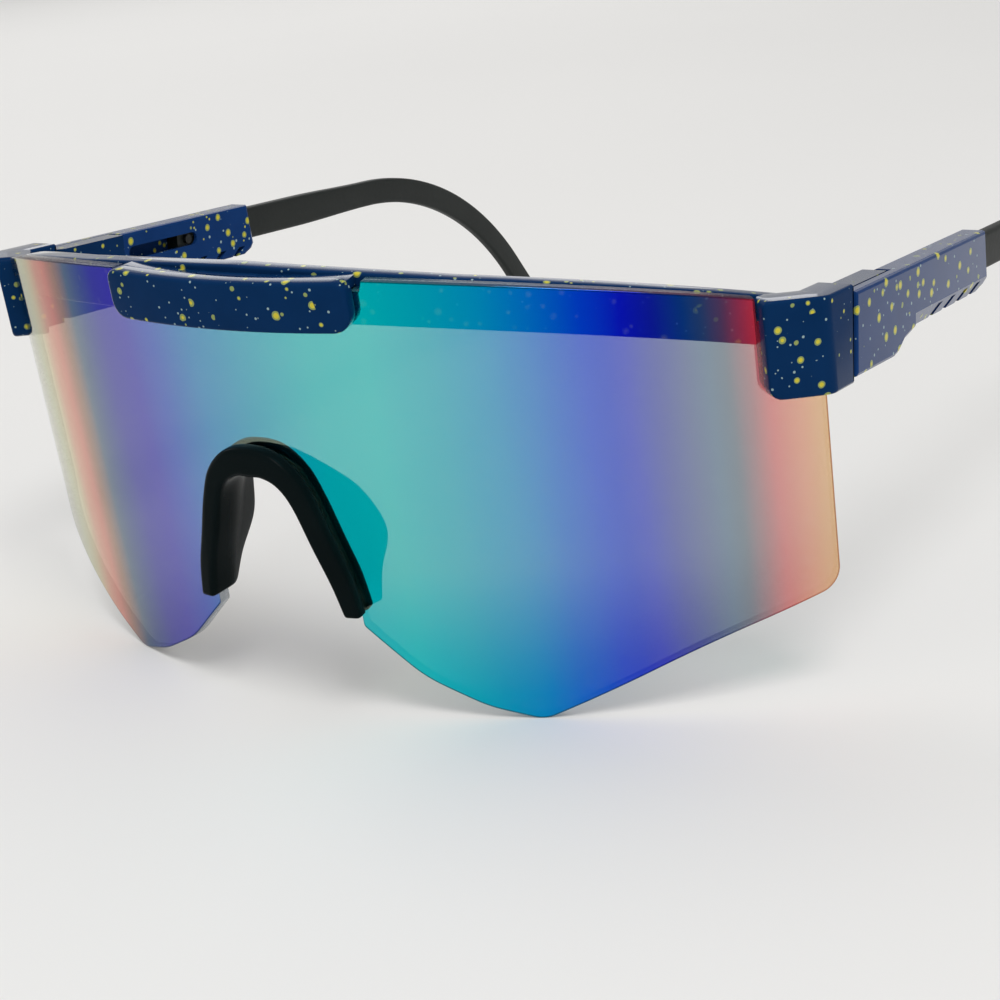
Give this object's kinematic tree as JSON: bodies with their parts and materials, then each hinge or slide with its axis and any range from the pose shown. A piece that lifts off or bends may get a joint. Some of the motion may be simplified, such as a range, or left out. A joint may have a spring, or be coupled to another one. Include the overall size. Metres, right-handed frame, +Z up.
{
  "type": "sport sunglasses",
  "caption": "Shield-lens sport sunglasses with a brow frame, a soft nose bridge, and temples that fold, tilt and slide in length.",
  "frame": {"origin": "centre of the bounding box on the ground, under the glasses as they stand open on the lens tips and the temple tips", "axes": "+X to the wearer's left, +Y from the lens back along the temples, +Z up"},
  "size_m": [0.1432, 0.197, 0.0642],
  "materials": {
    "navy_paint": "navy lacquer with scattered yellow and pale flecks",
    "mirror_lens": "rainbow mirror coating on a clear sheet",
    "black_rubber": "soft, glossy lip and satin pads",
    "black_nylon": "satin black",
    "steel": "plain"
  },
  "bodies": {
    "front": {"frame_front": "navy_paint", "shield_lens": "mirror_lens", "nose_bridge": "black_rubber"},
    "left_knuckle": {"left_hinge_knuckle": "navy_paint", "left_fold_screw": "steel"},
    "left_sleeve": {"left_temple_sleeve": "navy_paint", "left_tilt_rivet": "steel", "left_friction_washer": "black_nylon"},
    "left_arm": {"left_temple_arm": "black_nylon", "left_click_stud": "black_nylon"},
    "right_knuckle": {"right_hinge_knuckle": "navy_paint", "right_fold_screw": "steel"},
    "right_sleeve": {"right_temple_sleeve": "navy_paint", "right_tilt_rivet": "steel", "right_friction_washer": "black_nylon"},
    "right_arm": {"right_temple_arm": "black_nylon", "right_click_stud": "black_nylon"}
  },
  "joints": [
    {"name": "left_fold", "type": "hinge", "parent": "front", "child": "left_knuckle", "pos_m": [0.06803, -0.05524, 0.0543], "axis": [0, 0.0741, 0.9973], "range_deg": [0, 91]},
    {"name": "left_tilt", "type": "hinge", "parent": "left_knuckle", "child": "left_sleeve", "pos_m": [0.06803, -0.04931, 0.04784], "axis": [-1, 0, 0], "range_deg": [-5, 5]},
    {"name": "left_length", "type": "slide", "parent": "left_sleeve", "child": "left_arm", "axis": [0, 0.9973, -0.0741], "range_m": [-0.013, 0.001]},
    {"name": "right_fold", "type": "hinge", "parent": "front", "child": "right_knuckle", "pos_m": [-0.06803, -0.05524, 0.0543], "axis": [0, -0.0741, -0.9973], "range_deg": [0, 83.5]},
    {"name": "right_tilt", "type": "hinge", "parent": "right_knuckle", "child": "right_sleeve", "pos_m": [-0.06803, -0.04931, 0.04784], "axis": [-1, 0, 0], "range_deg": [-5, 5]},
    {"name": "right_length", "type": "slide", "parent": "right_sleeve", "child": "right_arm", "axis": [0, 0.9973, -0.0741], "range_m": [-0.013, 0.001]}
  ]
}
